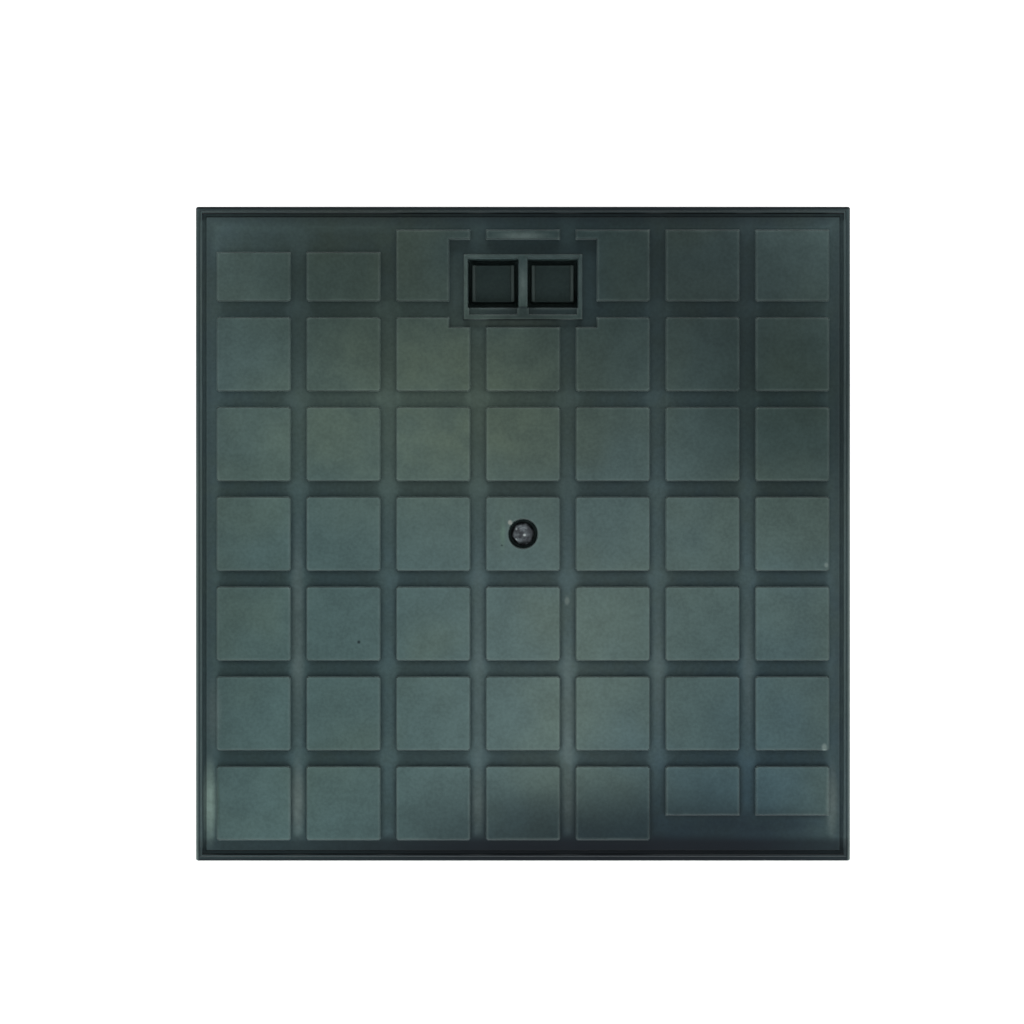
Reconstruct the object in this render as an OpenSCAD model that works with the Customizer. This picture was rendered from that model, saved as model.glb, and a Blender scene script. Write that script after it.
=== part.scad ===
// Square plastic access cover: one ribbed moulding with a field of raised square pads,
// two blind lifting pockets and a central hex-headed lock bolt in a counterbore.
// Millimetres, +Z up. The origin is the middle of the underside, and +Y is the pocket side.

/* [Cover] */
// Side of the square
cover_w = 450; // [440:1:470]
// Total height, from the rib edges to the pad tops
cover_h = 40; // [38:1:50]
// Radius of the four outer corners, seen from above
corner_r = 1.5; // [1.5:0.5:4]
// Thickness of the top plate under the pads
plate_t = 5; // [4:0.5:6]
// Height of the perimeter flange below the plate's upper face
flange_t = 13.5; // [10:0.5:16]
// Width of the seat under the flange
seat_w = 16; // [12:1:18]

/* [Pads] */
// Pads in a row, and rows in the field
pad_n = 7; // [7:1:7]
// Side of a pad at its foot
pad_w = 51.2; // [47:0.1:52]
// Distance from pad to pad
pad_pitch = 61.7; // [60:0.05:62]
// Height of the pads above the plate
pad_h = 2.6; // [1.5:0.1:4]
// Slope of the pad sides, measured across
pad_draft = 0.35; // [0.1:0.05:0.8]
// Bevel along the pad tops
pad_bevel = 0.45; // [0.2:0.05:0.8]
// How far the upright corners of a pad are cut back along each side
pad_corner = 1.2; // [0.8:0.1:3]

/* [Border] */
// Width of the low ledge along the outer edge
ledge_w = 2.9; // [2:0.1:3.2]
// Depth of that ledge below the plate's upper face
ledge_drop = 0.5; // [0.3:0.1:1.5]
// Width of the raised bead inside the ledge
bead_w = 1.8; // [1.6:0.1:3]
// Height of the bead
bead_h = 0.7; // [0.6:0.1:2]
// Width of the channel inside the bead
channel_w = 2.6; // [1.5:0.1:2.8]
// Depth of the channel
channel_d = 0.8; // [0.6:0.1:2]

/* [Plain strips] */
// How far the pads beside the two plain strips are cut short
strip_d = 17; // [10:1:20]
// How far the whole back row is cut short on its outer side
back_d = 1.6; // [0:0.1:3]

/* [Lifting pockets] */
// Opening of one pocket, left to right
pocket_w = 35; // [30:1:36]
// Opening of one pocket, front to back
pocket_l = 34; // [30:1:35]
// Width of the web between the two pockets
web_w = 6; // [5:0.5:8]
// Middle of the pockets, from the middle of the cover
pocket_y = 172.4; // [170:0.1:174]
// Depth of the pockets below the plate's upper face
pocket_d = 25; // [18:1:26]
// Wall of the pocket cups, and width of the raised lip round the openings
cup_t = 2.9; // [2.5:0.1:4]
// Height of the lip above the plate's upper face
lip_h = 1.4; // [0.8:0.1:2.4]
// Extra width of the lip in front of the pockets
lip_front = 5.5; // [2:0.5:6]
// Length of the finger shelf that is sunk into the front lip of each pocket
shelf_l = 5; // [2:0.5:6]
// Depth of that shelf below the plate's upper face
shelf_d = 0.6; // [0.3:0.1:1.5]
// Strip of lip left on each side of the shelf
shelf_inset = 1; // [0.5:0.5:4]
// Height of the raised floor in the middle of each pocket
step_h = 8; // [4:1:10]
// Thickness of the two upright ribs beside the raised floor
guide_t = 2.4; // [1.8:0.1:3]
// Height of those ribs above the raised floor
guide_h = 4; // [2:0.5:6]
// Gap between an upright rib and the pocket's side
guide_gap = 2.9; // [2:0.1:4]

/* [Ribs] */
// Rib thickness at the plate
rib_root = 4.2; // [3.4:0.1:5]
// Rib thickness at the lower edge
rib_tip = 3.0; // [2.4:0.1:3.2]
// Thickness of the ring wall round the ribs, at its lower edge
ring_t = 4; // [3:0.5:6]

/* [Bolt boss] */
// Bore of the counterbore that the bolt's head sits in
socket_bore = 20; // [19:0.5:22]
// Depth of the counterbore, from the pad's top
socket_d = 8; // [8:0.5:10]
// Bore for the bolt's shank, tapped once by the thread so that the bolt can't fall out
bolt_bore = 7.2; // [7:0.1:7.4]
// Diameter of the boss at its lower end
boss_w = 30; // [26:1:34]
// Height of the boss's lower end above the rib edges
boss_z = 14; // [12:1:16]
// Diameter of the clearing in the ribs round the bolt's free end
clearing_w = 44; // [36:1:44]

/* [Lock bolt] */
// Diameter of the waisted shank
shank_w = 6.4; // [6:0.1:6.6]
// Diameter over the thread
thread_w = 7.9; // [7.8:0.05:7.95]
// Length of shank that shows between the boss and the thread
thread_gap = 1; // [0.5:0.1:2]
// Length under the head
bolt_l = 30; // [28:1:30]
// Size of the hexagon across its flats
head_af = 13; // [13:1:13]
// Height of the head
head_h = 5.3; // [5:0.1:5.6]
// Turn of the hexagon, seen from above
head_turn = 12; // [0:1:59]
// Outer diameter of the washer
washer_w = 16; // [15:0.5:17]
// Bore of the washer
washer_bore = 8.4; // [8.4:0.1:9]
// Thickness of the washer
washer_t = 1.6; // [1.2:0.1:2]

/* [Hidden] */
$fn = 64;

// How far a cutting shape runs past the face that it cuts
over = 1;

// Levels
plate_z = cover_h - pad_h;
under_z = plate_z - plate_t;
seat_z = plate_z - flange_t;
cup_z = plate_z - pocket_d - cup_t;
head_z = cover_h - socket_d + washer_t;

// Outlines and spacings
body_w = cover_w - 2 * seat_w;
rib_pitch = pad_pitch / 2;
field_mid = (pad_n - 1) / 2;
field_edge = field_mid * pad_pitch + pad_w / 2;
cup_w = 2 * pocket_w + web_w + 2 * cup_t;
cup_l = pocket_l + 2 * cup_t;
pocket_x = (pocket_w + web_w) / 2;
step_w = pocket_w - 2 * guide_gap;
step_l = 25.5;
step_y = 0.5;
recess_w = 101;
recess_low = 142.2;
recess_high = 202;

// Slopes and small bevels, measured across
bead_slope = 0.4;
channel_slope = 0.3;
wall_draft = 1;
cell_draft = 1.2;
cup_draft = 1;
lip_draft = 0.3;
lip_bevel = 0.4;
pocket_draft = 0.6;
shelf_draft = 0.6;
step_draft = 0.3;
guide_draft = 0.1;
guide_bevel = 0.4;
boss_draft = 1.5;
gusset_t = 3.2;
rim_bevel = 0.6;
tip_bevel = 1;
crown_r = 0.47 * head_af;

// Section of a shape that is half wide at offset 0: one [offset, height] pair for each break in its sides
function section(half, steps) = concat(
    [for (s = steps) [half + s[0], s[1]]],
    [for (i = [len(steps) - 1:-1:0]) [-half - steps[i][0], steps[i][1]]]
);

// A block x by y at offset 0, with the same slopes and bevels on all four sides
module sloped_block(x, y, steps) {
    reach = 2 * max(x, y) + 40;
    intersection() {
        rotate([90, 0, 0]) linear_extrude(reach, center = true) polygon(section(x / 2, steps));
        rotate([90, 0, 90]) linear_extrude(reach, center = true) polygon(section(y / 2, steps));
    }
}

// An upright slab w square with rounded corners
module rounded_slab(w, low, high) {
    for (turn = [0, 90])
        rotate(turn) translate([-w / 2, -w / 2 + corner_r, low]) cube([w, w - 2 * corner_r, high - low]);
    for (x = [-1, 1], y = [-1, 1])
        translate([x * (w / 2 - corner_r), y * (w / 2 - corner_r), low]) cylinder(r = corner_r, h = high - low);
}

// Foot, side and bevel of one pad
pad_steps = [
    [0, plate_z - 1], [0, plate_z],
    [-pad_draft, cover_h - pad_bevel], [-pad_draft - pad_bevel, cover_h]
];

// The same slopes for a space that is cleared of pads
clear_steps = [
    [0, plate_z], [pad_draft, cover_h - pad_bevel],
    [pad_draft + pad_bevel, cover_h], [pad_draft + pad_bevel, cover_h + over]
];

// One pad, with its upright corners cut back
module pad() {
    across = (pad_w - pad_corner) * sqrt(2);
    intersection() {
        sloped_block(pad_w, pad_w, pad_steps);
        rotate(45) sloped_block(across, across, pad_steps);
    }
}

module pad_field() {
    for (col = [0:pad_n - 1], row = [0:pad_n - 1])
        translate([(col - field_mid) * pad_pitch, (row - field_mid) * pad_pitch, 0]) pad();
}

// Everything above the plate that the pads give way to: two plain strips, the back edge and the pocket recess
module pad_clearings() {
    strip_l = 2 * pad_pitch;
    back_w = 2 * (field_edge + over);
    translate([0, field_edge - (back_d - over) / 2, 0]) sloped_block(back_w, back_d + over, clear_steps);
    for (turn = [0, 180])
        rotate(turn) translate([strip_l / 2 - field_edge - over, field_edge - (strip_d - over) / 2, 0])
            sloped_block(strip_l, strip_d + over, clear_steps);
    translate([0, (recess_low + recess_high) / 2, 0])
        sloped_block(recess_w, recess_high - recess_low, clear_steps);
}

module pads() {
    difference() {
        pad_field();
        pad_clearings();
    }
}

// The plate, the flange and the ring wall below it, in one hollow shell that is open downwards
module shell() {
    inner = body_w - 2 * ring_t;
    difference() {
        union() {
            rounded_slab(cover_w, seat_z, plate_z);
            sloped_block(body_w, body_w, [[-wall_draft, 0], [0, seat_z + 1]]);
        }
        sloped_block(inner, inner, [
            [-wall_draft, -over], [-wall_draft, 0], [-wall_draft - cell_draft, under_z]
        ]);
        ledge_space();
    }
}

// What the low ledge takes off the slab's upper edge
module ledge_space() {
    inner = cover_w - 2 * ledge_w;
    difference() {
        translate([0, 0, plate_z]) cube([cover_w + 2 * over, cover_w + 2 * over, 2 * ledge_drop], center = true);
        translate([0, 0, plate_z]) cube([inner, inner, 4 * ledge_drop], center = true);
    }
}

module bead() {
    outer = cover_w - 2 * ledge_w;
    inner = outer - 2 * bead_w;
    top = plate_z + bead_h;
    difference() {
        sloped_block(outer, outer, [[0, plate_z - ledge_drop], [-bead_slope, top]]);
        sloped_block(inner, inner, [
            [0, plate_z - ledge_drop - over], [0, plate_z], [bead_slope, top], [bead_slope, top + over]
        ]);
    }
}

module border_channel() {
    outer = cover_w - 2 * (ledge_w + bead_w);
    inner = outer - 2 * channel_w;
    low = plate_z - channel_d;
    difference() {
        sloped_block(outer, outer, [[-channel_slope, low], [0, plate_z], [0, plate_z + over]]);
        sloped_block(inner, inner, [
            [channel_slope, low - over], [channel_slope, low], [0, plate_z], [0, plate_z + 2 * over]
        ]);
    }
}

// Crossed ribs, one under each groove and one under each pad's middle, thinner towards their lower edge
module ribs() {
    long = body_w - 2 * ring_t + 2;
    for (turn = [0, 90])
        rotate(turn)
            for (i = [1 - pad_n:pad_n - 1])
                translate([i * rib_pitch, 0, 0])
                    rotate([90, 0, 0])
                        linear_extrude(long, center = true)
                            polygon(section(0, [[rib_tip / 2, 0], [rib_root / 2, under_z + 1]]));
}

// The blind cups below the plate, and the raised lip round the openings, wider in front
module pocket_cups() {
    translate([0, pocket_y, 0])
        sloped_block(cup_w, cup_l, [[-cup_draft, cup_z], [0, plate_z - 1]]);
    translate([0, pocket_y - lip_front / 2, 0])
        sloped_block(cup_w, cup_l + lip_front, [[0, plate_z - 1], [0, plate_z], [-lip_draft, plate_z + lip_h]]);
}

// What the finger shelf takes off the front lip of one pocket
module shelf_space() {
    front = -pocket_l / 2;
    low = plate_z - shelf_d;
    top = plate_z + lip_h + over;
    rotate([90, 0, 90])
        linear_extrude(pocket_w - 2 * shelf_inset, center = true)
            polygon([
                [front - shelf_l, top],
                [front - shelf_l + shelf_draft, low],
                [front + over, low],
                [front + over, top]
            ]);
}

// The space inside one pocket: a well, less the raised floor and its two upright ribs
module pocket_space() {
    floor_z = plate_z - pocket_d;
    step_z = floor_z + step_h;
    guide_z = step_z + guide_h;
    lip_z = plate_z + lip_h;
    difference() {
        sloped_block(pocket_w, pocket_l, [
            [-pocket_draft, floor_z], [0, lip_z - lip_bevel], [lip_bevel, lip_z], [lip_bevel, lip_z + over]
        ]);
        translate([0, step_y, 0]) {
            sloped_block(step_w, step_l, [[step_draft, floor_z - over], [0, step_z]]);
            for (side = [-1, 1])
                translate([side * (step_w - guide_t) / 2, 0, 0])
                    sloped_block(guide_t, step_l, [
                        [guide_draft, floor_z - over], [0, guide_z - guide_bevel], [-guide_bevel, guide_z]
                    ]);
        }
    }
}

module boss() {
    deep = under_z - boss_z + 1;
    translate([0, 0, boss_z]) cylinder(d1 = boss_w, d2 = boss_w + 2 * boss_draft, h = deep);
    for (turn = [45:90:315])
        rotate(turn) translate([0, -gusset_t / 2, boss_z]) cube([rib_pitch * sqrt(2), gusset_t, deep]);
}

module boss_bores() {
    translate([0, 0, cover_h - socket_d]) cylinder(d = socket_bore, h = socket_d + over);
    translate([0, 0, cover_h - rim_bevel])
        cylinder(d1 = socket_bore, d2 = socket_bore + 4 * rim_bevel, h = 2 * rim_bevel);
    cylinder(d = bolt_bore, h = cover_h);
}

module cover() {
    color("darkslategray")
    difference() {
        union() {
            shell();
            bead();
            pads();
            difference() {
                ribs();
                translate([0, 0, -over]) cylinder(d = clearing_w, h = boss_z + over);
            }
            pocket_cups();
            boss();
        }
        border_channel();
        translate([0, pocket_y, 0])
            for (side = [-1, 1])
                translate([side * pocket_x, 0, 0]) {
                    pocket_space();
                    shelf_space();
                }
        boss_bores();
    }
}

module lock_bolt() {
    tip_z = head_z - bolt_l;
    thread_z = boss_z - thread_gap;
    cone_h = head_h + over;
    color("silver") {
        intersection() {
            translate([0, 0, head_z]) rotate(head_turn) cylinder(d = head_af / cos(30), h = head_h, $fn = 6);
            translate([0, 0, head_z - over]) cylinder(r1 = crown_r + cone_h / tan(30), r2 = crown_r, h = cone_h);
        }
        translate([0, 0, thread_z - 0.5]) cylinder(d = shank_w, h = head_z - thread_z + 1);
        translate([0, 0, tip_z + tip_bevel]) cylinder(d = thread_w, h = thread_z - tip_z - tip_bevel);
        translate([0, 0, tip_z]) cylinder(d1 = thread_w - 2 * tip_bevel, d2 = thread_w, h = tip_bevel);
    }
}

module bolt_washer() {
    color("silver")
    difference() {
        translate([0, 0, head_z - washer_t]) cylinder(d = washer_w, h = washer_t);
        translate([0, 0, head_z - washer_t - over]) cylinder(d = washer_bore, h = washer_t + 2 * over);
    }
}

cover();
lock_bolt();
bolt_washer();
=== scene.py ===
"""A square plastic access cover lying on a white ground, seen from straight above."""

import math
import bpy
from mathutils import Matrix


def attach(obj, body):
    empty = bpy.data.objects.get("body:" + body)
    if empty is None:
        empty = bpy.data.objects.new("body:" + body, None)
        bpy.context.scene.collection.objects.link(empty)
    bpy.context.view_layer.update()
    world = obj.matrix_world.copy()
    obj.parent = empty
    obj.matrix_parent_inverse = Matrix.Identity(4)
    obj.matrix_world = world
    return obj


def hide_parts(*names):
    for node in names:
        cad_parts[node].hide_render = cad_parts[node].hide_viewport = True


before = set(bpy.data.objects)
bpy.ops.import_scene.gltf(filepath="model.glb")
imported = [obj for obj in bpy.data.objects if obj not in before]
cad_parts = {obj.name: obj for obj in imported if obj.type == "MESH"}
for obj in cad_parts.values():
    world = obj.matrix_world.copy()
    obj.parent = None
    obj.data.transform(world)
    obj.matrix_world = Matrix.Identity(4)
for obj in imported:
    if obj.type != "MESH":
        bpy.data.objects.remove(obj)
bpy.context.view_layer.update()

from types import SimpleNamespace

import bmesh
import bpy
from mathutils import Vector

MM = 0.001

# The cover's own levels and spacings, as in the solids
PLATE_Z = 37.4 * MM
PITCH = 61.7 * MM
POCKET_Y = 172.4 * MM

# The photograph's frame: the cover's middle and the size of a pixel on the plate
IMAGE_PX = 1024
COVER_PX = (523.0, 533.75)
PX_SIZE = 0.6876 * MM
CAMERA_HEIGHT = 2.4
SENSOR_MM = 36.0


def srgb(red, green, blue):
    """A colour given as 0 to 255 on screen, as linear red, green, blue and alpha."""
    def linear(value):
        value /= 255
        return value / 12.92 if value <= 0.04045 else ((value + 0.055) / 1.055) ** 2.4
    return (linear(red), linear(green), linear(blue), 1.0)


# Node helpers

def put(tree, kind, sockets=None, **settings):
    """Adds a shader node. A socket's value is a number or colour, or another node's output to link."""
    node = tree.nodes.new(kind)
    for key, value in settings.items():
        setattr(node, key, value)
    for key, value in (sockets or {}).items():
        if isinstance(value, bpy.types.NodeSocket):
            tree.links.new(value, node.inputs[key])
        else:
            node.inputs[key].default_value = value
    return node


def math_node(tree, operation, a, b=0.0):
    return put(tree, "ShaderNodeMath", {0: a, 1: b}, operation=operation).outputs[0]


def in_turn(tree, operation, values):
    """Several values taken together, from the first to the last, by one operation."""
    result = values[0]
    for value in values[1:]:
        result = math_node(tree, operation, result, value)
    return result


def product(tree, *values):
    return in_turn(tree, "MULTIPLY", values)


def total(tree, *values):
    return in_turn(tree, "ADD", values)


def highest(tree, *values):
    return in_turn(tree, "MAXIMUM", values)


def ramp(tree, value, low, high, to_low=0.0, to_high=1.0):
    """A smooth step of value between low and high."""
    sockets = {"Value": value, "From Min": low, "From Max": high, "To Min": to_low, "To Max": to_high}
    return put(tree, "ShaderNodeMapRange", sockets, interpolation_type="SMOOTHSTEP").outputs["Result"]


def band(tree, length, low, high, to_low=0.0, to_high=1.0):
    """A smooth step of a length between two lengths in millimetres."""
    return ramp(tree, length, low * MM, high * MM, to_low, to_high)


def noise(tree, place, scale, detail, rough):
    sockets = {"Vector": place, "Scale": scale, "Detail": detail, "Roughness": rough}
    return put(tree, "ShaderNodeTexNoise", sockets).outputs["Fac"]


def blend(tree, factor, a, b, kind="MIX"):
    """Two colours mixed by a factor."""
    node = put(tree, "ShaderNodeMix", {0: factor, 6: a, 7: b}, data_type="RGBA", blend_type=kind)
    return node.outputs[2]


def scale_colour(tree, colour, factor):
    grey = put(tree, "ShaderNodeCombineColor", {0: factor, 1: factor, 2: factor}).outputs[0]
    return blend(tree, 1.0, colour, grey, "MULTIPLY")


def occlusion(tree, reach, inside=False):
    """How far the surface is enclosed within a short reach: 0 in the open, towards 1 in a corner."""
    node = put(tree, "ShaderNodeAmbientOcclusion", {"Distance": reach}, samples=4, inside=inside)
    return math_node(tree, "SUBTRACT", 1.0, node.outputs["AO"])


def patch_of(tree, place, x, y, half_x, half_y, soft):
    """1 in the middle of an oval patch seen from above, falling to 0 at its edge."""
    sockets = {0: place, 1: (-x * MM, -y * MM, 0.0)}
    moved = put(tree, "ShaderNodeVectorMath", sockets, operation="ADD").outputs[0]
    sockets = {0: moved, 1: (1 / (half_x * MM), 1 / (half_y * MM), 0.0)}
    scaled = put(tree, "ShaderNodeVectorMath", sockets, operation="MULTIPLY").outputs[0]
    away = put(tree, "ShaderNodeVectorMath", {0: scaled}, operation="LENGTH").outputs["Value"]
    return ramp(tree, away, soft, 1.0, 1.0, 0.0)


def lay_patches(tree, place, colour, patches, soft, *limits):
    """Lays oval patches over a colour, each held back by the limits. Each list says which are stains
    and which are painted light and shade.
    """
    for x, y, half_x, half_y, tone, strength in patches:
        oval = patch_of(tree, place, x, y, half_x, half_y, soft)
        colour = blend(tree, product(tree, oval, strength, *limits), colour, tone)
    return colour


def bump_from(tree, heights):
    """A bump made of noises, each with its own height in millimetres."""
    relief = total(tree, *[product(tree, source, height * MM) for source, height in heights])
    sockets = {"Height": relief, "Strength": 1.0, "Distance": 1.0}
    return put(tree, "ShaderNodeBump", sockets).outputs[0]


def new_material(name):
    material = bpy.data.materials.new(name)
    material.use_nodes = True
    material.node_tree.nodes.clear()
    return material, material.node_tree


def finish_material(tree, shader):
    put(tree, "ShaderNodeOutputMaterial", {"Surface": shader.outputs[0]})


# The plastic's colours

PLASTIC = srgb(85, 105, 104)
GREENER = srgb(93, 108, 96)
SLATE = srgb(77, 96, 101)
OLIVE = srgb(94, 106, 80)
# Grime, also used as painted shade in corners and on slopes
GRIME_SHADE = srgb(28, 37, 39)
DARK = srgb(15, 21, 27)
# Painted shade for slopes that face the front or the back
SLOPE_SHADE = srgb(11, 16, 18)
# Pale, for worn edges and for painted highlights
WEAR_AND_HIGHLIGHT = srgb(118, 133, 130)
# A painted highlight on the left border
PAINTED_HIGHLIGHT = srgb(142, 168, 159)

# Painted shade: what the plastic's colour is multiplied by inside the underside, and outside on the
# ring wall under the flange
UNDER_SHADE = (0.80, 0.82, 0.82, 1.0)
WALL_SHADE = (0.36, 0.39, 0.40, 1.0)

# Painted shade: broad patches that multiply the plastic's colour where less light falls: middle, half
# width and half length in millimetres, and the shade
SHADE_PATCHES = [
    (148, 184, 112, 118, (0.55, 0.55, 0.56, 1.0)),
    (-122, 185, 139, 131, (0.45, 0.45, 0.41, 1.0)),
    (49, -215, 217, 71, (0.17, 0.20, 0.24, 1.0)),
    (182, 93, 113, 132, (0.36, 0.39, 0.38, 1.0)),
    (41, 227, 176, 317, (0.29, 0.32, 0.33, 1.0)),
    (-160, -129, 197, 420, (0.69, 0.77, 0.78, 1.0)),
    (153, -194, 138, 309, (0.55, 0.64, 0.74, 1.0)),
]

# Stains, and painted light and shade, on the upper side: middle, half width and half length in
# millimetres, colour and strength
STAINS_AND_PAINTED_LIGHT = [
    (-65, 80, 150, 110, OLIVE, 0.3),
    # Painted light on the left border band of the front rows
    (-215.5, -184, 6.5, 38, PAINTED_HIGHLIGHT, 1.0),
    # Painted shadow along the left side of the front rows' pads
    (-209.6, -184, 1.8, 36, srgb(40, 62, 52), 0.6),
    # Painted light on the right and left border bands
    (212.5, -184, 6, 34, WEAR_AND_HIGHLIGHT, 0.6),
    (-213.0, -123, 8, 34, WEAR_AND_HIGHLIGHT, 0.3),
    # Painted light in the vertical grooves of the front rows
    (-155, -184, 7, 34, WEAR_AND_HIGHLIGHT, 0.7),
    (-155, -70, 7, 110, WEAR_AND_HIGHLIGHT, 0.35),
    (-31, -184, 7, 32, WEAR_AND_HIGHLIGHT, 0.35),
    (-31, -92, 7, 110, WEAR_AND_HIGHLIGHT, 0.2),
    (31, -184, 7, 32, WEAR_AND_HIGHLIGHT, 0.25),
    (93, -92, 7, 70, WEAR_AND_HIGHLIGHT, 0.22),
    (155, -92, 7, 70, WEAR_AND_HIGHLIGHT, 0.22),
    (30.6, -125, 7, 70, WEAR_AND_HIGHLIGHT, 0.3),
    (-13.9, 0, 3, 17, srgb(92, 118, 106), 0.5),
    # Painted shade along the front border, on the right
    (160, -200, 75, 17, DARK, 0.6),
    # Painted shade on the shelf in front of the pockets and on the pockets' front edge
    (0, 153, 46, 4, DARK, 0.5),
    (0, 149.4, 46, 3.2, DARK, 0.4),
    (0, 155.6, 42, 1.6, DARK, 0.7),
    (-6, 144.8, 44, 4.0, srgb(84, 97, 90), 0.75),
    (0, 172.4, 3, 18, WEAR_AND_HIGHLIGHT, 0.3),
    (0, 205, 25, 3.5, WEAR_AND_HIGHLIGHT, 0.35),
]

# Small marks on the plastic, and two painted glints on pad corners of the right column, in the same
# form
MARKS_AND_GLINTS = [
    (-112.8, -74.4, 1.6, 1.6, DARK, 0.8),
    # Painted glints on two pad corners of the right column
    (207.0, -146.6, 2.6, 3.4, WEAR_AND_HIGHLIGHT, 0.7),
    (208.3, -21.5, 2.0, 2.4, WEAR_AND_HIGHLIGHT, 0.7),
    (30.3, -46.2, 2.4, 4.0, WEAR_AND_HIGHLIGHT, 0.7),
    (-8.9, 7.8, 2.1, 2.3, srgb(150, 156, 150), 0.8),
    (-14.5, -8.0, 1.2, 1.0, DARK, 0.6),
]

# How much of a patch's and a mark's half size is at full strength
PATCH_CORE = 0.1
MARK_CORE = 0.3

# The plastic's noises, from coarse to fine: scale, detail and roughness
CLOUD = (11.0, 2.0, 0.5)
PATCH = (55.0, 4.0, 0.6)
FINE = (420.0, 3.0, 0.6)
GRAIN = (1900.0, 2.0, 0.5)

# The values between which most of a noise lies
NOISE_SPAN = (0.3, 0.7)

# How near other faces lie to gather grime and painted shade, and how near an edge the plastic is rubbed
# and given a painted highlight, and the occlusion at which each starts and is full
GRIME_SHADE_REACH = 4.0 * MM
GRIME_SHADE_SPAN = (0.06, 0.4)
RUB_HIGHLIGHT_REACH = 2.2 * MM
RUB_HIGHLIGHT_SPAN = (0.08, 0.5)

# How strong some layers are: the painted light in the back grooves as a gain, the rest as shares
BACK_GROOVE_LIGHT_GAIN = 1.5
BEAD_FILM_SHADE = 0.9
CORNER_GRIME_SHADE = 0.85

# How much rougher the plastic is where it is grimy, and how little it shines
GRIME_ROUGHNESS = 0.25
PLASTIC_SPECULAR = 0.1

# Parts of the cover, in millimetres: where each mask is 0 and where it is 1. These go by height.
ABOVE_RIBS = (33, 35)
ABOVE_SEAT = (23, 24.5)
UPPER_EDGE = (35.8, 36.3)
PAD_TOPS = (39.2, 39.8)
BELOW_PADS = (38.6, 37.6)
POCKET_DEPTH = (36, 33)
CUP_FLOOR = (10.8, 11.2)
GUIDE_RIBS_FROM = (24.0, 24.3)
GUIDE_RIBS_TO = (25.2, 24.8)

# These go by distance from the cover's middle, and the cups' length from the pockets' middle
FLANGE_SIDE = (221, 224)
RING_WALL = (206.2, 206.8)
BORDER = (214, 216)
CUP_WIDTH = (39.8, 39.2)
CUP_LENGTH = (18.8, 18.2)


def readings(tree):
    """What the plastic's layers ask of a point: its place, the way it faces and the noises there."""
    place = put(tree, "ShaderNodeTexCoord").outputs["Object"]
    x, y, height = put(tree, "ShaderNodeSeparateXYZ", {0: place}).outputs
    out_x = math_node(tree, "ABSOLUTE", x)
    out_y = math_node(tree, "ABSOLUTE", y)
    normal = put(tree, "ShaderNodeNewGeometry").outputs["Normal"]
    facing = put(tree, "ShaderNodeSeparateXYZ", {0: normal}).outputs
    patch = noise(tree, place, *PATCH)
    return SimpleNamespace(
        place=place, x=x, y=y, height=height, out_x=out_x, out_y=out_y,
        rim=highest(tree, out_x, out_y),
        up=facing[2], ahead=math_node(tree, "ABSOLUTE", facing[1]),
        cloud=noise(tree, place, *CLOUD), patch=patch, fine=noise(tree, place, *FINE),
        grain=noise(tree, place, *GRAIN), uneven=ramp(tree, patch, *NOISE_SPAN, 0.75, 1.1),
    )


def add_parts(tree, at):
    """Adds which part of the cover a point lies on, each as a mask from 0 to 1."""
    side = product(tree, band(tree, at.rim, *FLANGE_SIDE), band(tree, at.height, *ABOVE_SEAT))
    at.on_top = highest(tree, band(tree, at.height, *ABOVE_RIBS), side)
    at.crest = band(tree, at.height, *UPPER_EDGE)
    at.low = product(tree, band(tree, at.height, *BELOW_PADS), at.on_top)
    off_pocket = math_node(tree, "ABSOLUTE", math_node(tree, "SUBTRACT", at.y, POCKET_Y))
    at.in_cup = product(
        tree, band(tree, at.out_x, *CUP_WIDTH), band(tree, off_pocket, *CUP_LENGTH),
        band(tree, at.height, *CUP_FLOOR),
    )


def base_colour(tree, at):
    """Mottled green-grey with painted shade where hidden and in broad patches, dusty grooves, stains
    and painted light.
    """
    colour = blend(tree, ramp(tree, at.cloud, 0.42, 0.66, 0.0, 0.4), PLASTIC, GREENER)
    unseen = math_node(tree, "SUBTRACT", 1.0, highest(tree, at.on_top, at.in_cup))
    hidden_shade = blend(tree, band(tree, at.rim, *RING_WALL), UNDER_SHADE, WALL_SHADE)
    colour = blend(tree, unseen, colour, hidden_shade, "MULTIPLY")
    groove_layer = product(tree, at.low, ramp(tree, at.patch, 0.35, 0.65, 0.3, 0.65))
    colour = blend(tree, groove_layer, colour, SLATE)
    # Painted shade in broad patches
    for x, y, half_x, half_y, shade_factor in SHADE_PATCHES:
        oval = patch_of(tree, at.place, x, y, half_x, half_y, PATCH_CORE)
        colour = blend(tree, product(tree, oval, at.on_top), colour, shade_factor, "MULTIPLY")
    # Stains, and painted light and shade
    colour = lay_patches(tree, at.place, colour, STAINS_AND_PAINTED_LIGHT, PATCH_CORE, at.uneven, at.on_top)
    shade = total(tree, ramp(tree, at.patch, *NOISE_SPAN, 0.9, 1.07),
                  ramp(tree, at.fine, *NOISE_SPAN, -0.08, 0.08))
    return scale_colour(tree, colour, shade)


def shade_outer_columns(tree, at, colour):
    """Painted light and shade on the pads of the outer columns: a little lighter inside, darker towards
    the cover's edge.
    """
    fall = total(tree, band(tree, at.out_x, 140, 160, 0.0, 0.08),
                 band(tree, at.out_x, 164, 212, 0.0, -0.19))
    fall = product(tree, fall, band(tree, at.height, *PAD_TOPS))
    return scale_colour(tree, colour, total(tree, fall, 1.0))


def from_groove(tree, along):
    """How far a point lies from the middle of the nearest groove, along one axis."""
    return math_node(tree, "PINGPONG", total(tree, along, PITCH / 2), PITCH / 2)


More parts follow.
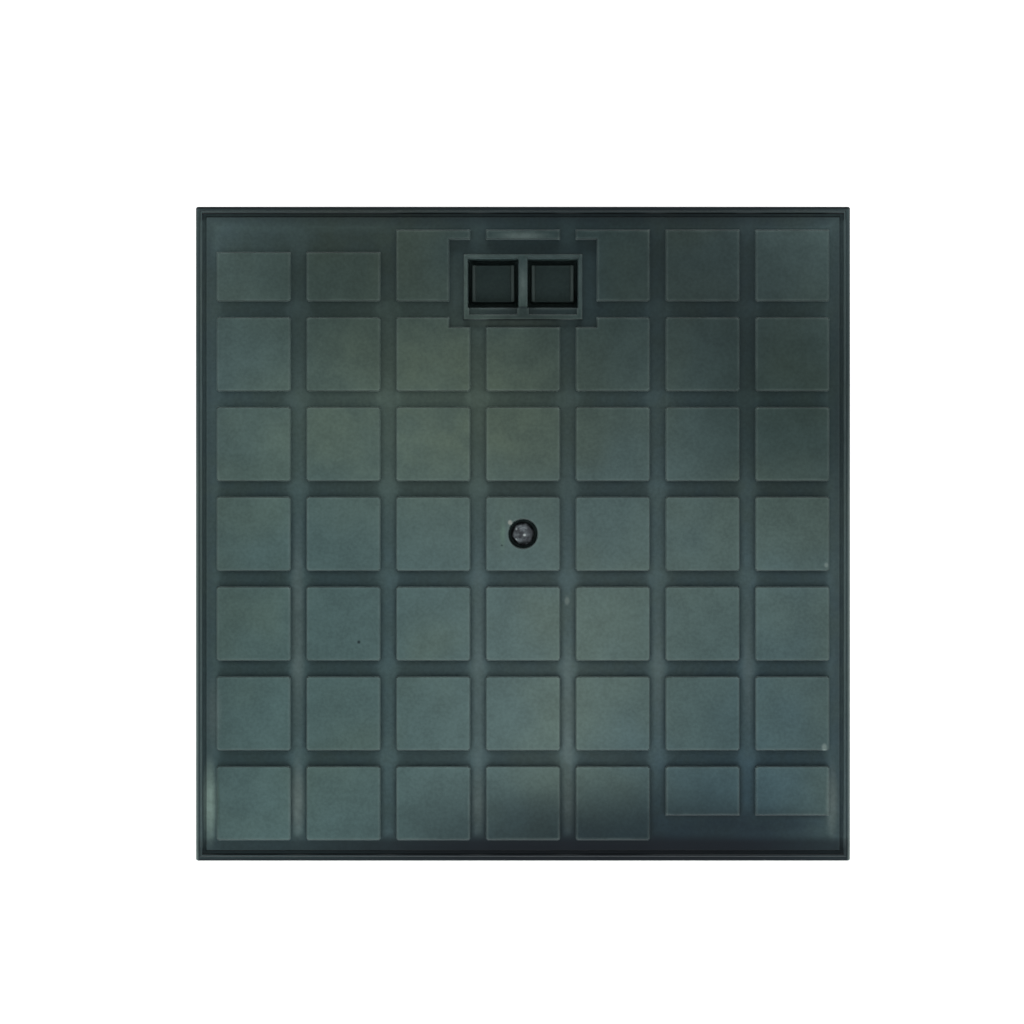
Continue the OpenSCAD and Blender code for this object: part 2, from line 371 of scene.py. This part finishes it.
def light_back_grooves(tree, at, colour):
    """Painted light in the cross grooves of the back rows, less on the left, none by the pockets."""
    in_groove = band(tree, from_groove(tree, at.y), 7.0, 4.5)
    back = band(tree, at.y, 50, 85)
    inside_border = band(tree, at.rim, 213, 208)
    less_on_left = band(tree, at.x, -200, -60, 0.5, 1.0)
    off_pockets = highest(tree, band(tree, at.out_x, 48, 60), band(tree, at.y, 125, 115))
    crossing = band(tree, from_groove(tree, at.x), 4.0, 8.0, 0.25, 1.0)
    groove_layer = product(tree, in_groove, at.low, back, inside_border, less_on_left, off_pockets, crossing)
    return scale_colour(tree, colour, ramp(tree, groove_layer, 0.0, 1.0, 1.0, BACK_GROOVE_LIGHT_GAIN))


def add_dark_film_and_shade(tree, at, colour):
    """A dark film and painted shade on the border, strongest along the front, on the bead and on two of
    the ledges.
    """
    film_and_shade = product(tree, band(tree, at.rim, 209, 217, 0.0, 0.4), at.uneven, at.on_top)
    # Painted shade on the front and back ledges, and along the front
    painted_ledges = product(tree, band(tree, at.out_y, 222.4, 223.6, 0.0, 0.9), at.crest)
    front = product(
        tree, band(tree, at.y, -204, -213), highest(tree, at.low, band(tree, at.rim, *BORDER)),
        band(tree, at.x, -225, 10, 0.62, 0.97), band(tree, at.x, 140, 210, 1.0, 0.82),
    )
    bead = product(
        tree, band(tree, at.out_y, 214, 216.5), ramp(tree, at.up, 0.995, 0.9), BEAD_FILM_SHADE,
    )
    lying = ramp(tree, at.up, 0.1, 0.35, 0.3, 1.0)
    film_and_shade = product(tree, highest(tree, film_and_shade, painted_ledges, front, bead), lying)
    return blend(tree, film_and_shade, colour, DARK)


def grime_and_shade_at(tree, at):
    """How much grime and painted shade lie on a point: most in tight corners, and a little in the
    pockets.
    """
    corner = product(
        tree, ramp(tree, occlusion(tree, GRIME_SHADE_REACH), *GRIME_SHADE_SPAN),
        ramp(tree, at.patch, *NOISE_SPAN, 0.6, 1.0), band(tree, at.y, 200, -100, 0.4, 1.15),
        band(tree, at.rim, 206, 211, 1.0, 0.35), CORNER_GRIME_SHADE,
    )
    deep = product(tree, band(tree, at.height, *POCKET_DEPTH, 0.0, 0.2), ramp(tree, at.up, 0.3, 0.7))
    return highest(tree, corner, deep)


def rub_and_light_edges(tree, at, colour):
    """Raised edges are rubbed pale and given a painted highlight; the ledges of the left and right
    sides get a painted highlight.
    """
    edge = product(
        tree, ramp(tree, occlusion(tree, RUB_HIGHLIGHT_REACH, inside=True), *RUB_HIGHLIGHT_SPAN),
        ramp(tree, at.patch, *NOISE_SPAN, 0.15, 0.5), band(tree, at.rim, 213, 216, 1.0, 0.45),
        band(tree, at.out_y, 213, 216, 1.0, 0.3),
    )
    # Painted highlights on the left and right ledges
    painted_ledges = product(
        tree, band(tree, at.out_x, 222.8, 224.2, 0.0, 0.7), at.crest,
        band(tree, at.y, 130, 0, 0.2, 1.0),
    )
    return blend(tree, highest(tree, edge, painted_ledges), colour, WEAR_AND_HIGHLIGHT)


def shade_slopes(tree, at, colour):
    """Painted shade and grime on the slopes of the upper side, darkest on those that face the front or
    the back.
    """
    slope = product(
        tree, ramp(tree, at.up, 0.98, 0.85), ramp(tree, at.up, 0.05, 0.4),
        band(tree, at.out_x, 222.4, 223.4, 1.0, 0.0), ramp(tree, at.ahead, 0.15, 0.5, 0.5, 0.85),
        at.on_top,
    )
    dirt_and_shade = blend(tree, ramp(tree, at.ahead, 0.15, 0.5), GRIME_SHADE, SLOPE_SHADE)
    return blend(tree, slope, colour, dirt_and_shade)


def light_guide_ribs(tree, at, colour):
    """The tops of the upright ribs in the pockets get a pale painted highlight."""
    tops = product(
        tree, band(tree, at.height, *GUIDE_RIBS_FROM), band(tree, at.height, *GUIDE_RIBS_TO),
        ramp(tree, at.up, 0.6, 0.9, 0.0, 0.7),
    )
    return blend(tree, tops, colour, WEAR_AND_HIGHLIGHT)


def plastic():
    """Dark green-grey moulded plastic: mottled, satin, worn and grimy, with painted light and shade on
    edges, corners and patches.
    """
    material, tree = new_material("moulded_plastic")
    at = readings(tree)
    add_parts(tree, at)
    colour = base_colour(tree, at)
    colour = shade_outer_columns(tree, at, colour)
    colour = light_back_grooves(tree, at, colour)
    colour = add_dark_film_and_shade(tree, at, colour)
    # Grime and painted shade in corners and pockets
    grime_and_shade = grime_and_shade_at(tree, at)
    colour = blend(tree, grime_and_shade, colour, GRIME_SHADE)
    colour = rub_and_light_edges(tree, at, colour)
    colour = shade_slopes(tree, at, colour)
    colour = light_guide_ribs(tree, at, colour)
    # Marks, and two painted glints
    colour = lay_patches(tree, at.place, colour, MARKS_AND_GLINTS, MARK_CORE, at.on_top)
    rough = total(tree, ramp(tree, at.patch, *NOISE_SPAN, 0.44, 0.56),
                  product(tree, grime_and_shade, GRIME_ROUGHNESS))
    bump = bump_from(tree, [(at.cloud, 0.25), (at.patch, 0.06), (at.fine, 0.02), (at.grain, 0.012)])
    finish_material(tree, put(tree, "ShaderNodeBsdfPrincipled", {
        "Base Color": colour, "Roughness": rough, "Normal": bump,
        "Specular IOR Level": PLASTIC_SPECULAR,
    }))
    return material


# The steel's colours
STEEL_DARK = srgb(49, 52, 55)
STEEL_PALE = srgb(75, 81, 84)
STEEL_DIRT_SHADE = srgb(22, 25, 26)

# The steel's noises, the occlusion at which its dirt and painted shade start and are full, and how much
# rougher the dirt is
STEEL_STAIN = (240.0, 3.0, 0.5)
STEEL_FINE = (4000.0, 2.0, 0.5)
DIRT_SHADE_SPAN = (0.1, 0.55)
DIRT_ROUGHNESS = 0.3

# Painted highlights on the bolt's head and a painted shadow along its front edge, in the same form as
# the stains
HEAD_LIGHT_SPOTS = [
    (1.0, -0.9, 1.5, 1.3, srgb(150, 158, 158), 0.8),
    (-4.5, 3.3, 1.0, 1.3, srgb(120, 128, 128), 0.7),
    (-4.8, -4.0, 1.1, 1.2, srgb(130, 140, 140), 0.8),
    (0.5, -6.5, 6.0, 2.6, srgb(24, 28, 29), 0.85),
]
SPOT_CORE = 0.2

# The heights over which the spots come in, in millimetres
HEAD_FOOT = (34, 35)


def steel():
    """Dull zinc-plated steel, stained, with painted highlights and shadow on its head, and dirt and
    painted shade where it sits in its hole.
    """
    material, tree = new_material("zinc_steel")
    place = put(tree, "ShaderNodeTexCoord").outputs["Object"]
    height = put(tree, "ShaderNodeSeparateXYZ", {0: place}).outputs[2]
    tone = noise(tree, place, *STEEL_STAIN)
    fine = noise(tree, place, *STEEL_FINE)
    colour = blend(tree, ramp(tree, tone, 0.4, 0.64), STEEL_DARK, STEEL_PALE)
    # Painted highlights and a painted shadow on the bolt's head
    colour = lay_patches(tree, place, colour, HEAD_LIGHT_SPOTS, SPOT_CORE, band(tree, height, *HEAD_FOOT))
    # Dirt and painted shade where the steel sits in its hole
    dirt_and_shade = ramp(tree, occlusion(tree, GRIME_SHADE_REACH), *DIRT_SHADE_SPAN)
    colour = blend(tree, dirt_and_shade, colour, STEEL_DIRT_SHADE)
    rough = total(tree, ramp(tree, tone, *NOISE_SPAN, 0.5, 0.32),
                  product(tree, dirt_and_shade, DIRT_ROUGHNESS))
    bump = bump_from(tree, [(tone, 0.08), (fine, 0.008)])
    finish_material(tree, put(tree, "ShaderNodeBsdfPrincipled", {
        "Base Color": colour, "Roughness": rough, "Metallic": 1.0, "Normal": bump,
    }))
    return material


# Meshes

def add_object(name, shape, material, node):
    """Makes a piece from a bmesh. It rides on the one body and stands for a node."""
    mesh = bpy.data.meshes.new(name)
    shape.to_mesh(mesh)
    shape.free()
    mesh.materials.append(material)
    for face in mesh.polygons:
        face.use_smooth = True
    piece = bpy.data.objects.new(name, mesh)
    bpy.context.scene.collection.objects.link(piece)
    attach(piece, "root")
    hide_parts(node)
    return piece


# Points closer than this are one, and faces that turn by less than this are one
WELD = 0.001 * MM
FLAT = math.radians(1.0)

# Edges that turn by more than this are rounded by this much
SHARP = math.radians(24.0)
EDGE_ROUND = 0.28 * MM

# The upper edge of the cover's outline is rounded more. It lies at the ledge's height, to within
# LEVEL, and further out than OUTER_REACH.
OUTER_ROUND = 0.9 * MM
LEDGE_Z = PLATE_Z - 0.5 * MM
OUTER_REACH = 224.5 * MM
LEVEL = 0.01 * MM


def clean_solid(node):
    """A node's own solid as a bmesh, with its flat faces whole."""
    shape = bmesh.new()
    shape.from_mesh(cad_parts[node].data)
    bmesh.ops.remove_doubles(shape, verts=shape.verts, dist=WELD)
    bmesh.ops.dissolve_limit(
        shape, angle_limit=FLAT, verts=shape.verts, edges=shape.edges, use_dissolve_boundaries=False,
    )
    return shape


def round_edges(shape, chosen, width, segments):
    bmesh.ops.bevel(
        shape, geom=chosen, affect="EDGES", offset=width, offset_type="OFFSET", segments=segments,
        profile=0.5, clamp_overlap=False, loop_slide=True,
    )


def on_outer_edge(vertex):
    """Whether a corner of the mesh lies on the upper edge of the cover's outline."""
    reach = max(abs(vertex.co.x), abs(vertex.co.y))
    return reach > OUTER_REACH and abs(vertex.co.z - LEDGE_Z) < LEVEL


def cover_piece(material):
    shape = clean_solid("cover")
    outer = [edge for edge in shape.edges if all(on_outer_edge(vertex) for vertex in edge.verts)]
    round_edges(shape, outer, OUTER_ROUND, 3)
    sharp = [edge for edge in shape.edges if edge.is_manifold and edge.calc_face_angle() > SHARP]
    round_edges(shape, sharp, EDGE_ROUND, 2)
    piece = add_object("cover_moulding", shape, material, "cover")
    even = piece.modifiers.new("even_shading", "WEIGHTED_NORMAL")
    even.keep_sharp = False
    return piece


# Points in each ring of the bolt and the washer, and the turns in degrees that stay sharp on each
STEPS = 96
BOLT_CREASE = 22.0
WASHER_CREASE = 50.0


def ring_points(radius_at, height_at):
    """A ring round the bolt's axis, with its radius and height in millimetres at each angle."""
    points = []
    for i in range(STEPS):
        angle = 2 * math.pi * i / STEPS
        radius = radius_at(angle)
        x = radius * math.cos(angle) * MM
        y = radius * math.sin(angle) * MM
        points.append((x, y, height_at(angle) * MM))
    return points


def plain_ring(radius, height):
    return ring_points(lambda angle: radius, lambda angle: height)


def skin(rings, hollow=False):
    """A closed mesh through rings. In a hollow one the last ring joins the first."""
    shape = bmesh.new()
    loops = [[shape.verts.new(point) for point in ring] for ring in rings]
    next_loops = loops[1:] + loops[:1] if hollow else loops[1:]
    for near, far in zip(loops, next_loops):
        for i in range(STEPS):
            j = (i + 1) % STEPS
            shape.faces.new((near[i], near[j], far[j], far[i]))
    if not hollow:
        shape.faces.new(list(reversed(loops[0])))
        shape.faces.new(loops[-1])
    bmesh.ops.recalc_face_normals(shape, faces=shape.faces)
    return shape


def keep_edges(shape, degrees):
    """Edges that turn by more than this stay sharp in the shading."""
    for edge in shape.edges:
        if edge.calc_face_angle(0.0) > math.radians(degrees):
            edge.smooth = False


# The bolt's own sizes, as in the solids, in millimetres
HEAD_Z = 33.6
HEAD_H = 5.3
HEAD_AF = 13.0
HEAD_TURN = math.radians(12.0)
SHANK_R = 3.2
THREAD_R = 3.95
THREAD_TOP = 13.0
TIP_Z = 3.6

# The blunt tip: the radius and height of its rings, and the chamfer above it
TIP_RINGS = [(THREAD_R - 1.3, TIP_Z), (THREAD_R - 1.0, TIP_Z + 0.1)]
TIP_CHAMFER = 1.0

# The thread: its pitch and depth, the slope of its flanks, the flat on its crest, the plain
# length above it, and the rings in one turn
THREAD_PITCH = 1.25
THREAD_DEPTH = 0.72
THREAD_FLANK = 1.25
THREAD_CREST = 0.12
THREAD_END = 0.5
RINGS_PER_TURN = 10

# The head: its bearing face and crown as shares of its width, its bevel, and the shallow dish on top
BEARING = 0.93
BEARING_H = 0.25
CROWN = 0.94
CROWN_SLOPE = math.tan(math.radians(30.0))
DISH_EDGE = 0.72
DISH_FOOT = 0.62
DISH_MIDDLE = 0.2
DISH_DEPTH = 0.35


def hexagon_radius(angle):
    turn = (angle - HEAD_TURN) % (math.pi / 3) - math.pi / 6
    return HEAD_AF / 2 / math.cos(turn)


def thread_radius(angle, height):
    """The thread's profile: a V between the crest and the root, running out at its upper end."""
    phase = (height / THREAD_PITCH - angle / (2 * math.pi)) % 1.0
    cut = min(1.0, max(0.0, THREAD_FLANK * (1 - abs(2 * phase - 1)) - THREAD_CREST))
    fade = min(1.0, (THREAD_TOP - height) / THREAD_PITCH)
    return THREAD_R - THREAD_DEPTH * cut * max(0.0, fade)


def bolt_piece(material):
    top = HEAD_Z + HEAD_H
    bearing = HEAD_AF / 2 * BEARING
    crown = HEAD_AF / 2 * CROWN

    def bevel_height(angle):
        return top - (hexagon_radius(angle) - crown) * CROWN_SLOPE

    rings = [plain_ring(*ring) for ring in TIP_RINGS]
    threaded = THREAD_TOP - TIP_Z - TIP_CHAMFER
    count = round(threaded / (THREAD_PITCH / RINGS_PER_TURN))
    for i in range(count + 1):
        height = TIP_Z + TIP_CHAMFER + i * threaded / count
        rings.append(ring_points(lambda angle: thread_radius(angle, height), lambda angle: height))
    rings += [plain_ring(SHANK_R, THREAD_TOP + THREAD_END), plain_ring(SHANK_R, HEAD_Z)]
    rings += [plain_ring(bearing, HEAD_Z), plain_ring(bearing, HEAD_Z + BEARING_H)]
    rings.append(ring_points(hexagon_radius, lambda angle: HEAD_Z + BEARING_H))
    rings.append(ring_points(hexagon_radius, bevel_height))
    rings += [plain_ring(crown, top), plain_ring(crown * DISH_EDGE, top)]
    rings += [plain_ring(crown * share, top - DISH_DEPTH) for share in (DISH_FOOT, DISH_MIDDLE)]
    shape = skin(rings)
    keep_edges(shape, BOLT_CREASE)
    return add_object("lock_bolt_steel", shape, material, "lock_bolt")


# The washer's inner and outer radius, its lower and upper face, and its rounding, in
# millimetres. The rounding's middle point lies this share of it inside both faces.
WASHER_R = (4.2, 8.0)
WASHER_Z = (32.0, 33.6)
WASHER_ROUND = 0.25
ROUND_MIDDLE = 0.3


def washer_piece(material):
    inner, outer = WASHER_R
    low, high = WASHER_Z
    soft = WASHER_ROUND
    middle = ROUND_MIDDLE * soft
    profile = [
        (inner, low), (inner, high), (outer - soft, high), (outer - middle, high - middle),
        (outer, high - soft), (outer, low + soft), (outer - soft, low),
    ]
    shape = skin([plain_ring(*corner) for corner in profile], hollow=True)
    keep_edges(shape, WASHER_CREASE)
    return add_object("bolt_washer_steel", shape, material, "bolt_washer")


# Ground, light and camera

WHITE = (1.0, 1.0, 1.0, 1.0)

# The ground: half its side in metres, its paint and its glow to the camera
GROUND_HALF = 4.0
GROUND_PAINT = (0.8, 0.8, 0.8, 1.0)
GROUND_GLOW = 0.75

# How far the ground lies below the cover's lowest faces, so that none of them lies in its plane
GROUND_GAP = 0.3 * MM

# How much the surroundings light the object
AMBIENT = 0.19


def is_seen(tree):
    """1 for a ray by which something is seen, straight, mirrored or through glass, and else 0."""
    rays = put(tree, "ShaderNodeLightPath").outputs
    return highest(tree, rays["Is Camera Ray"], rays["Is Glossy Ray"], rays["Is Transmission Ray"])


def ground():
    """A wide white floor. The camera sees it as white, and it still takes the cover's shadow."""
    material, tree = new_material("white_ground")
    paint = put(tree, "ShaderNodeBsdfDiffuse", {"Color": GROUND_PAINT})
    strength = product(tree, is_seen(tree), GROUND_GLOW)
    glow = put(tree, "ShaderNodeEmission", {"Color": WHITE, "Strength": strength})
    finish_material(tree, put(tree, "ShaderNodeAddShader", {0: paint.outputs[0], 1: glow.outputs[0]}))
    shape = bmesh.new()
    bmesh.ops.create_grid(shape, x_segments=8, y_segments=8, size=GROUND_HALF)
    mesh = bpy.data.meshes.new("ground")
    shape.to_mesh(mesh)
    shape.free()
    mesh.materials.append(material)
    floor = bpy.data.objects.new("ground", mesh)
    floor.location.z = -GROUND_GAP
    bpy.context.scene.collection.objects.link(floor)


def surroundings():
    """A white studio: plain ambient light on surfaces, and white wherever it is seen or mirrored."""
    world = bpy.data.worlds.new("studio")
    bpy.context.scene.world = world
    world.use_nodes = True
    tree = world.node_tree
    tree.nodes.clear()
    dim = put(tree, "ShaderNodeBackground", {"Color": WHITE, "Strength": AMBIENT})
    white = put(tree, "ShaderNodeBackground", {"Color": WHITE, "Strength": 1.0})
    sockets = {0: is_seen(tree), 1: dim.outputs[0], 2: white.outputs[0]}
    mixed = put(tree, "ShaderNodeMixShader", sockets)
    put(tree, "ShaderNodeOutputWorld", {"Surface": mixed.outputs[0]})


def panel(name, place, aim, width, depth, power):
    """A soft box lamp at a place, turned towards a point."""
    lamp = bpy.data.lights.new(name, "AREA")
    lamp.shape = "RECTANGLE"
    lamp.size = width
    lamp.size_y = depth
    lamp.energy = power
    box = bpy.data.objects.new(name, lamp)
    box.location = place
    box.rotation_euler = (Vector(aim) - Vector(place)).to_track_quat("-Z", "Y").to_euler()
    bpy.context.scene.collection.objects.link(box)


# Each lamp's name, place, the point it faces, width and depth in metres, and power in watts
LAMPS = [
    ("far_strip", (0.0, 1.3, 0.27), (0.0, 0.0, 0.03), 2.2, 0.2, 29.0),
    ("near_strip", (0.0, -1.0, 0.2), (0.0, 0.0, 0.03), 1.7, 0.15, 26.0),
    ("top_box", (0.03, -0.12, 0.5), (0.03, -0.12, 0.0), 0.25, 0.25, 0.3),
    ("left_panel", (-1.1, -0.1, 0.3), (0.0, -0.05, 0.0), 0.6, 0.3, 3.2),
    ("right_panel", (1.1, -0.1, 0.3), (0.0, -0.05, 0.0), 0.6, 0.3, 3.2),
]


def camera():
    """Straight above the cover, through a long lens, framed as the photograph is."""
    lens = bpy.data.cameras.new("camera")
    lens.sensor_width = SENSOR_MM
    lens.lens = SENSOR_MM * CAMERA_HEIGHT / (IMAGE_PX * PX_SIZE)
    eye = bpy.data.objects.new("camera", lens)
    x = (IMAGE_PX / 2 - COVER_PX[0]) * PX_SIZE
    y = (COVER_PX[1] - IMAGE_PX / 2) * PX_SIZE
    eye.location = (x, y, PLATE_Z + CAMERA_HEIGHT)
    eye.rotation_euler = (0.0, 0.0, 0.0)
    bpy.context.scene.collection.objects.link(eye)
    bpy.context.scene.camera = eye


camera()
surroundings()
for lamp_facts in LAMPS:
    panel(*lamp_facts)
ground()
moulded = plastic()
zinc = steel()
cover_piece(moulded)
bolt_piece(zinc)
washer_piece(zinc)

bpy.context.scene.view_settings.view_transform = "Standard"
